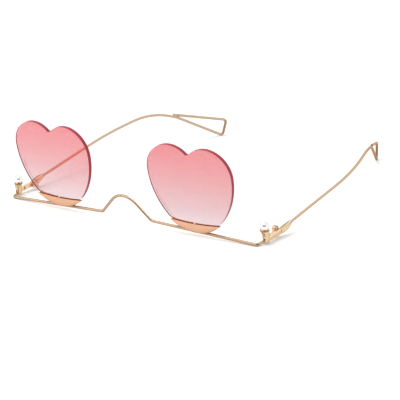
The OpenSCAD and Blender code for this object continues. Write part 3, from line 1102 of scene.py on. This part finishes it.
@dataclass
class EndPiece:
    """Flared post with the pearl's cup, and the block that runs back to the hinge.

    Each level of the post is its height, its radius and how far inside the outer face its middle lies.
    Places on the post are given from the outer face, the post's middle and the frame's floor.
    """

    bench: Bench
    sizes: EndSizes
    levels: tuple[Triple, ...] = (
        (-0.30, 1.20, 1.35),
        (-0.22, 1.31, 1.35),
        (-0.10, 1.35, 1.35),
        (1.20, 1.37, 1.39),
        (2.60, 1.42, 1.44),
        (3.50, 1.48, 1.49),
        (4.10, 1.60, 1.60),
        (4.70, 1.79, 1.72),
        (5.05, 1.92, 1.80),
        (5.20, 1.98, 1.84),
        (5.42, 2.08, 1.89),
        (5.51, 2.07, 1.90),
        (5.55, 2.00, 1.90),
    )
    cup: tuple[Pair, ...] = ((1.74, 5.55), (1.68, 5.50), (1.68, 5.17), (0.4, 5.15))
    lip_z: Pair = (5.05, 5.53)
    corner_back: float = 1.4
    corner_in: float = 0.08
    sides: int = 64
    vent_at: Triple = (-1.2, -1.85, 1.5)
    vent_r: float = 0.45
    vent_len: float = 1.4
    vent_sides: int = 24
    slit_at: Triple = (-0.9, -1.5, 2.75)
    slit_low: Triple = (0.0, -0.6, 0.0)
    slit_high: Triple = (0.3, 0.4, 1.5)
    slit_lean: float = -12.0
    block_front_h: float = 2.05
    edge: float = 0.14
    chamfer: float = 0.36
    # Width of the painted shade line beside the chamfer.
    shade_line: float = 0.16
    seam_cut: float = 0.16

    def _level(self, z: float, radius: float, x_in: float) -> Ring:
        """Works out one level of the post: round, with a corner at the back outside.

        Args:
            z: Height of the level.
            radius: Radius of the round part.
            x_in: Distance of its middle from the outer face.

        Returns:
            Points of the level.
        """
        outer, middle = self.sizes.outer_x, self.sizes.post_y
        reach = Vector((x_in - self.corner_in, self.corner_back - self.corner_in))
        lead, touch = math.atan2(reach.y, reach.x), math.acos(min(1.0, radius / reach.length))
        ring = []
        for n in range(self.sides):
            a = 2 * math.pi * n / self.sides
            off = abs(math.remainder(a - lead, 2 * math.pi))
            far = radius / math.cos(touch - off) if off < touch else radius
            ring.append(Vector((min(outer - x_in + far * math.cos(a), outer), middle + far * math.sin(a), z)))
        return ring

    def _post(self) -> Object:
        """Makes the post with its cup, vent and slit.

        Returns:
            The post.
        """
        size = self.sizes
        corner = Vector((size.outer_x, size.post_y, 0))
        rings = [self._level(*level) for level in self.levels]
        for radius, z in self.cup:
            spot = corner + Vector((-size.cup_in, 0, z))
            rings.append(circle(spot, X, Y, radius, self.sides))
        made = self.bench.loft("post_and_block", rings)
        forward = Matrix.Rotation(-math.pi / 2, 4, "X")
        drill = Matrix.Translation(corner + Vector(self.vent_at)) @ forward
        profile = [(self.vent_r, 0.0), (self.vent_r, self.vent_len)]
        vent = self.bench.turned("vent_tool", profile, drill, self.vent_sides)
        self.bench.carve(made, vent)
        slit = self.bench.box("slit_tool", Vector(self.slit_low), Vector(self.slit_high))
        lean = Matrix.Rotation(math.radians(self.slit_lean), 4, "Y")
        slit.data.transform(Matrix.Translation(corner + Vector(self.slit_at)) @ lean)
        self.bench.carve(made, slit)
        return made

    def _block_section(self, y: float, low: float, high: float, inset: float) -> Ring:
        """Works out a section of the block, with a chamfer along its outer top edge that gets a painted
        highlight.

        Its face 5 is the chamfer, and faces 4 and 6 are narrow strips on both sides of it that get painted
        shade lines.

        Args:
            y: Place of the section.
            low: Its underside.
            high: Its top.
            inset: How far inside the full section it runs.

        Returns:
            Points of the section.
        """
        x0, x1 = self.sizes.block_x + inset, self.sizes.outer_x - inset
        z0, z1 = low + inset, high - inset
        c, wide, line = self.edge, self.chamfer, self.chamfer + self.shade_line
        flat = [(x0, z0 + c), (x0 + c, z0), (x1 - c, z0), (x1, z0 + c)]
        flat += [(x1, z1 - line), (x1, z1 - wide), (x1 - wide, z1), (x1 - line, z1)]
        return [Vector((x, y, z)) for x, z in flat + [(x0 + c, z1), (x0, z1 - c)]]

    def build(self) -> None:
        """Makes the end piece."""
        size, cast = self.sizes, Finish.CAST_GOLD
        made = self._post()
        low, high = self.lip_z
        # The cup's rim gets painted shade next to the pearl.
        skin = [Finish.CUP_LIP if low < face.center.z < high else cast for face in made.data.polygons]
        top = size.block_low + size.block_h
        stations = [
            (size.post_y, 0.0, self.block_front_h, 0.0),
            (size.seam_y - self.seam_cut, size.block_low, top, 0.0),
            (size.seam_y, size.block_low, top, self.seam_cut),
        ]
        rings = [self._block_section(*station) for station in stations]
        self.bench.gather(made, self.bench.loft("block", rings))
        # Painted highlight on the chamfer, with painted shade lines on both sides of it.
        own = {4: Finish.EDGE_CREASE, 5: Finish.BRIGHT_EDGE, 6: Finish.EDGE_CREASE}
        skin += [own.get(n, cast) for n in range(len(rings[0]))] + [Finish.SEAM_GOLD] * len(rings[0])
        self.bench.deliver(made, "gold_cast", cast, "end_piece", size.frame, skin)


@dataclass
class PearlGlue:
    """Thin fillet of glue between the pearl and the cup's rim, as radii and heights."""

    bench: Bench
    sizes: EndSizes
    profile: tuple[Pair, ...] = (
        (1.30, 5.30),
        (1.74, 5.42),
        (1.79, 5.56),
        (1.74, 5.68),
        (1.68, 5.80),
        (1.655, 5.87),
        (1.60, 5.86),
    )
    sides: int = 64

    def build(self) -> None:
        """Makes the fillet."""
        size = self.sizes
        axis = Matrix.Translation((size.outer_x - size.cup_in, size.post_y, 0))
        made = self.bench.turned("pearl_glue", self.profile, axis, self.sides)
        self.bench.deliver(made, "gold_cast", Finish.PEARL_GLUE, frame=size.frame)


@dataclass
class HingeScrew:
    """Hinge screw with a slotted head, whose dome is given as shares of its radius and height."""

    bench: Bench
    sizes: EndSizes
    shank_r: float = 0.5
    shank_edge: float = 0.08
    head_r: float = 1.44
    head_h: float = 0.9
    head_edge: float = 0.06
    dome_shares: tuple[Pair, ...] = ((1.0, 0.45), (0.93, 0.72), (0.74, 0.9), (0.4, 0.98), (0.1, 1.0))
    slot_w: float = 0.4
    slot_depth: float = 0.4
    blade_len: float = 4.0
    blade_h: float = 1.0

    def build(self) -> None:
        """Makes the screw."""
        size = self.sizes
        low, top = size.barrel_low, size.barrel_low + size.barrel_h
        r, edge = self.shank_r, self.shank_edge
        profile = [(r - edge, low), (r, low + edge), (r, top)]
        profile += [(self.head_r - self.head_edge, top), (self.head_r, top + self.head_edge)]
        profile += [(self.head_r * out, top + self.head_h * up) for out, up in self.dome_shares]
        axis = Matrix.Translation((size.hinge_x, size.hinge_y, 0))
        made = self.bench.turned("slotted_screw", profile, axis)
        bottom = Vector((size.hinge_x, size.hinge_y, top + self.head_h - self.slot_depth))
        half = Vector((self.blade_len / 2, self.slot_w / 2, 0))
        blade = self.bench.box("blade", bottom - half, bottom + half + Z * self.blade_h)
        self.bench.carve(made, blade)
        self.bench.deliver(made, "steel", Finish.SCREW_STEEL, "hinge_screw", size.frame)


# Temples


@dataclass
class TempleButt:
    """Pencil shaped butt that holds the temple's wire.

    Each row of shares is a place along it, then its low edge, high edge, thickness and corner there.
    """

    bench: Bench
    sizes: EndSizes
    length: float = 8.6
    shares: tuple[tuple[float, ...], ...] = (
        (0, 0, 1, 1, 0.1),
        (0.26, -0.01, 1.23, 1.15, 0.2),
        (0.49, 0.07, 1.39, 1.21, 0.32),
        (0.72, 0.27, 1.5, 1.19, 0.42),
        (0.9, 0.54, 1.52, 1.1, 0.48),
        (1, 0.73, 1.47, 1, 0.49),
    )
    gap: float = 0.05
    entry_share: float = 1.1
    rows: int = 36
    corner_steps: int = 6
    corner_least: float = 0.05
    seam_cut: float = 0.14
    tip: tuple[Pair, ...] = ((0.02, -0.1), (0.08, -0.02))
    mouth: tuple[Pair, ...] = ((0.76, 0.0), (0.73, 0.05), (0.73, 0.5))

    @property
    def start_y(self) -> float:
        """Place of the butt's flat face."""
        return self.sizes.seam_y + self.gap

    @property
    def entry(self) -> Vector:
        """Middle of the wire where it leaves the butt, in the leaning frame."""
        size = self.sizes
        z = size.block_low + size.block_h * self.entry_share
        return Vector((size.block_x + size.block_w / 2, self.start_y + self.length, z))

    def _share_at(self, along: float) -> list[float]:
        """Works out the butt's shares at a place, on a smooth curve through the rows.

        Args:
            along: Share of the butt's length.

        Returns:
            Low edge, high edge, thickness and corner as shares.
        """
        rows = self.shares
        last = len(rows) - 1
        i = max(n for n in range(last) if rows[n][0] <= along + TINY)
        a, b = rows[i], rows[i + 1]
        before, after = rows[max(0, i - 1)], rows[min(last, i + 2)]
        span = b[0] - a[0]
        t = (along - a[0]) / span
        weights = (2 * t**3 - 3 * t**2 + 1, t**3 - 2 * t**2 + t, 3 * t**2 - 2 * t**3, t**3 - t**2)
        found = []
        for k in range(1, len(a)):
            lead = (b[k] - before[k]) / (b[0] - before[0]) * span
            trail = (after[k] - a[k]) / (after[0] - a[0]) * span
            found.append(sum(weight * value for weight, value in zip(weights, (a[k], lead, b[k], trail))))
        return found

    def _section(self, along: float, inset: float = 0.0, shift: float = 0.0) -> Ring:
        """Works out one section of the butt.

        Its faces 0 to 5 round the outer top corner, and face 6 is its top.

        Args:
            along: Share of the butt's length.
            inset: How far inside the full section it runs.
            shift: Distance that it is moved along the butt.

        Returns:
            Points of the section.
        """
        size = self.sizes
        low, high, thick, corner = self._share_at(along)
        r = max(self.corner_least, corner * size.block_w - inset)
        back = inset + r
        x0, x1 = size.block_x + back, size.block_x + thick * size.block_w - back
        z0, z1 = (size.block_low + share * size.block_h for share in (low, high))
        z0, z1 = z0 + back, z1 - back
        y = self.start_y + along * self.length + shift
        ring = []
        for quarter, centre in enumerate(((x1, z1), (x0, z1), (x0, z0), (x1, z0))):
            start = quarter * math.pi / 2
            corner_arc = arc(centre, r, start, start + math.pi / 2, self.corner_steps)
            ring += [Vector((x, y, z)) for x, z in corner_arc]
        return ring

    def build(self) -> None:
        """Makes the butt."""
        rings = [self._section(0.0, self.seam_cut), self._section(0.0, 0.0, self.seam_cut)]
        rings += [self._section(n / self.rows) for n in range(1, self.rows)]
        rings += [self._section(1.0, inset, shift) for inset, shift in self.tip]
        entry = self.entry
        for radius, back in self.mouth:
            ways = [((p - entry) * (X + Z)).normalized() for p in rings[-1]]
            rings.append([entry + way * radius - Y * back for way in ways])
        made = self.bench.loft("pencil_butt", rings)
        count = len(rings[0])
        cast, seam, shade_line = Finish.CAST_GOLD, Finish.SEAM_GOLD, Finish.EDGE_CREASE
        # Painted highlight on the middle of the outer top corner, with painted shade lines on both sides of
        # it and on one ring near the tip.
        own = dict.fromkeys((2, 3, 4), Finish.BRIGHT_EDGE) | dict.fromkeys((0, 1, 5, 6), shade_line)
        along = [own.get(n, cast) for n in range(count)]
        skin = [seam] * count + along * (self.rows - 2) + [shade_line] * count + [seam] * 4 * count
        body = self.bench.named("temple")
        self.bench.deliver(made, "gold_cast", cast, "temple_butt", self.sizes.frame, skin, body)


@dataclass
class TempleWire:
    """Wire that runs behind the ear and ends in a long, narrow loop."""

    bench: Bench
    butt: TempleButt
    straight_len: float = 53.4
    curve_len: float = 28.3
    drop_len: float = 15.0
    climb: float = 9.8
    first_turn: float = 14.5
    second_turn: float = 26.0
    fall: float = 19.0
    bends: tuple[float, ...] = (126.0, 42.0, 6.0, 1.6, 1.6)
    low_len: float = 26.5
    high_len: float = 29.0
    loop_h: float = 8.1
    low_drop: float = 0.6
    tail_len: float = 2.2
    tail_lift: float = 1.1
    socket_len: float = 2.6
    end_bar_shares: Pair = (0.02, 0.98)
    end_bar_r: float = 1.2
    solder_back: float = 0.9
    solder_half_len: float = 1.5
    solder_core: float = 0.08
    solder_half: Pair = (0.42, 0.55)
    solder_rings: int = 12
    solder_sides: int = 24

    @staticmethod
    def _heading(turned: float, climb: float) -> Vector:
        """Direction of a length of wire, by the degrees that it has turned inwards and climbs."""
        t, c = math.radians(turned), math.radians(climb)
        return Vector((-math.sin(t) * math.cos(c), math.cos(t) * math.cos(c), math.sin(c)))

    def path(self) -> list[Vector]:
        """Works out the wire's corners.

        Returns:
            The corners, from inside the butt to the cut end.
        """
        entry = self.butt.sizes.frame @ self.butt.entry
        onward, down = self._heading(0, self.climb), self._heading(self.second_turn, -self.fall)
        level = self._heading(self.second_turn, 0)
        first = entry + onward * self.straight_len
        second = first + self._heading(self.first_turn, self.climb) * self.curve_len
        joint = second + down * self.drop_len
        low, high = joint + level * self.low_len, joint + level * self.high_len
        low.z = -self.low_drop
        high.z = low.z + self.loop_h
        tail = joint - down * self.tail_len + Z * self.tail_lift
        return [entry - onward * self.socket_len, first, second, joint, low, high, tail]

    def build(self) -> None:
        """Makes the wire and the solder at its cut end."""
        bench, path, plain = self.bench, self.path(), Finish.TEMPLE_WIRE
        body = bench.named("temple")
        made = bench.loft("looped_wire", BentWire(path, self.bends).rings())
        low, high = path[4:6]
        span = high - low
        start, end = self.end_bar_shares
        skin = []
        for face in made.data.polygons:
            along = (face.center - low).dot(span) / span.length_squared
            beside = (face.center - low - span * along).length
            on_bar = start < along < end and beside < self.end_bar_r
            skin.append(Finish.LOOP_END_BAR if on_bar else plain)
        skin[-2:] = [Finish.CUT_END] * 2
        bench.deliver(made, "gold_wire", plain, "temple_wire", skin=skin, body=body)
        bench.deliver(self._solder(path), "gold_wire", Finish.SOLDER, body=body)

    def _solder(self, path: Sequence[Vector]) -> Object:
        """Makes the bead of solder that holds the cut end on the wire.

        Args:
            path: Corners of the wire.

        Returns:
            The bead.
        """
        second, joint, high, tail = path[2], path[3], path[-2], path[-1]
        way = (high - tail).normalized()
        below = joint + (second - joint).normalized() * self.tail_len
        middle = (tail + below) / 2 + way * self.solder_back
        across = way.cross(Z).normalized()
        rise = across.cross(way).normalized()
        rings = []
        for n in range(self.solder_rings + 1):
            along = 2 * n / self.solder_rings - 1
            swell = math.sqrt(max(0.0, 1 - along * along))
            wide, tall = (self.solder_core + half * swell for half in self.solder_half)
            spot = middle + way * (self.solder_half_len * along)
            rings.append(circle(spot, across * wide, rise * tall, 1.0, self.solder_sides))
        return self.bench.loft("loop_solder", rings)


# CAD nodes that stay


@dataclass
class SmallParts:
    """CAD nodes of one side whose shape is right and that only get a finish."""

    bench: Bench
    nodes: dict[str, Object]
    finishes: tuple[tuple[str, Finish], ...] = (
        ("pearl", Finish.PEARL_NACRE),
        ("pearl_peg", Finish.SCREW_STEEL),
        ("front_hinge_leaf", Finish.HINGE_GOLD),
        ("temple_hinge_leaf", Finish.HINGE_GOLD),
    )

    def build(self) -> None:
        """Dresses the nodes."""
        for stem, finish in self.finishes:
            made = self.nodes[self.bench.named(stem)]
            for slot in made.material_slots:
                slot.material = finish.material()
            LOG.info("%s keeps its CAD shape", made.name)


# Studio


@dataclass
class Studio:
    """Pale floor, soft light and the camera, in metres."""

    camera_at: Triple = (0.49705, -0.68437, 0.25920)
    azimuth: float = 36.5
    elevation: float = 17.5333
    roll: float = 2.0359
    lens_mm: float = 164.757
    sensor_mm: float = 36.0
    nearest: float = 0.01
    ambient: float = 0.58
    floor_half: float = 3.0
    paper: float = 0.9
    floor_glow: float = 0.25
    far_glow: float = 0.2
    far_at: Pair = (0.15, 0.9)
    # Painted light that washes out the object's shadow in the patches by the bar and by the right hinge.
    painted_light: float = 0.14
    pale_bar: tuple[Pair, ...] = ((-0.068, -0.05), (0.068, 0.05), (-0.045, -0.066))
    pale_hinge: tuple[Pair, ...] = ((0.04, 0.06), (-0.052, -0.036))
    felt: tuple[float, Rgb, Rgb] = (20.0, (24, 16, 10), (40, 30, 22))
    card_turn: float = 4.0
    card_off: float = 0.5
    card_half_w: float = 0.38
    card_z: Pair = (0.11, 0.35)
    lamps: tuple[tuple[str, Triple, float, float], ...] = (
        ("top_light", (-0.25, -0.15, 0.9), 0.6, 3.6),
        ("side_light", (-0.7, -0.6, 0.5), 0.26, 1.6),
    )

    def camera(self) -> None:
        """Makes the camera at the photograph's angle."""
        az, el, roll = (math.radians(a) for a in (self.azimuth, self.elevation, self.roll))
        back = Vector((math.sin(az) * math.cos(el), -math.cos(az) * math.cos(el), math.sin(el)))
        right = Vector((math.cos(az), math.sin(az), 0))
        up = back.cross(right)
        across = right * math.cos(roll) - up * math.sin(roll)
        upright = right * math.sin(roll) + up * math.cos(roll)
        data = bpy.data.cameras.new("camera")
        data.sensor_width = self.sensor_mm
        data.lens = self.lens_mm
        data.clip_start = self.nearest
        made = put("camera", data)
        turn = Matrix((across, upright, back)).transposed().to_4x4()
        made.matrix_world = Matrix.Translation(self.camera_at) @ turn
        bpy.context.scene.camera = made

    @staticmethod
    def _seen(s: Shader) -> Tap:
        """1 for rays that show the background, 0 for rays that gather light."""
        rays = [s.tap("LightPath", f"Is {kind} Ray") for kind in ("Camera", "Glossy", "Transmission")]
        return (rays[0] + rays[1] + rays[2]).held()

    @staticmethod
    def _sheet(name: str, corners: Sequence[Triple], material: Material) -> Object:
        """Makes a flat sheet that isn't part of the object.

        Args:
            name: Its name.
            corners: Its four corners.
            material: Its material.

        Returns:
            The sheet.
        """
        made = Bench.raw(name, [Vector(corner) for corner in corners], [[0, 1, 2, 3]])
        made.data.materials.append(material)
        return made

    def floor(self) -> None:
        """Makes the floor, white but for the object's shadow, with painted light behind the bar and beside a
        hinge that washes the shadow out there.
        """
        s = Shader(bpy.data.materials.new("floor_paper"))
        x, y = s.part("Object", "X"), s.part("Object", "Y")
        out = s.tap("VectorMath", "Value", {0: s.tap("TexCoord", "Object")}, {"operation": "LENGTH"})
        left, right, deep = self.pale_bar
        behind_bar = x.between(*left) * x.between(*right) * y.between(*deep)
        wide, deep = self.pale_hinge
        by_hinge = x.between(*wide) * y.between(*deep)
        # Painted light by the bar and the hinge that washes the shadow out there.
        glow = out.between(*self.far_at) * self.far_glow + (behind_bar + by_hinge) * self.painted_light
        strength = self._seen(s) * (self.floor_glow + glow)
        matt = s.tap("BsdfDiffuse", 0, {"Color": (self.paper, self.paper, self.paper, 1)})
        lit = s.tap("Emission", 0, {"Color": (1, 1, 1, 1), "Strength": strength})
        h = self.floor_half
        corners = ((-h, -h, 0), (h, -h, 0), (h, h, 0), (-h, h, 0))
        self._sheet("floor", corners, s.done(s.tap("AddShader", 0, {0: matt, 1: lit})))

    def world(self) -> None:
        """Makes the plain light from all round."""
        world = bpy.data.worlds.new("studio")
        bpy.context.scene.world = world
        s = Shader(world)
        strength = self.ambient + self._seen(s) * (1.0 - self.ambient)
        s.done(s.tap("Background", 0, {"Color": (1, 1, 1, 1), "Strength": strength}), "OutputWorld")

    def card(self) -> None:
        """Makes the dark card that shows as a spot in the pearls, and in nothing but reflections."""
        az = math.radians(self.azimuth + self.card_turn)
        out, across = Vector((math.sin(az), -math.cos(az), 0)), Vector((math.cos(az), math.sin(az), 0))
        w, (low, high) = self.card_half_w, self.card_z
        flat = ((-w, low), (w, low), (w, high), (-w, high))
        corners = [out * self.card_off + across * x + Z * z for x, z in flat]
        s = Shader(bpy.data.materials.new("dark_card"))
        fibre_mm, dark, pale = self.felt
        felt = s.blend(s.noise(fibre_mm), dark, pale)
        made = self._sheet("dark_card", corners, s.done(s.tap("BsdfDiffuse", 0, {"Color": felt})))
        for rays in ("camera", "diffuse", "shadow", "transmission"):
            setattr(made, f"visible_{rays}", False)

    @staticmethod
    def lamp(name: str, at: Triple, size: float, watts: float) -> None:
        """Makes a soft lamp that looks at the object.

        Args:
            name: Its name.
            at: Its place.
            size: Its width.
            watts: Its power.
        """
        data = bpy.data.lights.new(name, "AREA")
        data.energy = watts
        data.size = size
        made = put(name, data)
        made.location = at
        made.rotation_euler = Vector(at).to_track_quat("Z", "Y").to_euler()

    def build(self) -> None:
        """Makes the whole studio."""
        bpy.context.scene.view_settings.view_transform = "Standard"
        self.camera()
        self.floor()
        self.world()
        self.card()
        for lamp in self.lamps:
            self.lamp(*lamp)


def main() -> None:
    """Builds the sunglasses around the CAD frame, in order."""
    logging.basicConfig(level=logging.INFO, format="%(name)s: %(message)s")
    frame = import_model()
    Studio().build()
    front, sizes = FrontWire(Bench()), EndSizes()
    front.build()
    for side in Side:
        bench = Bench(side)
        lens, butt = HeartLens(bench, front), TempleButt(bench, sizes)
        lens.build()
        LensHolder(bench, lens).build()
        EndPiece(bench, sizes).build()
        PearlGlue(bench, sizes).build()
        HingeScrew(bench, sizes).build()
        butt.build()
        TempleWire(bench, butt).build()
        SmallParts(bench, frame["nodes"]).build()


if __name__ == "__main__":
    main()
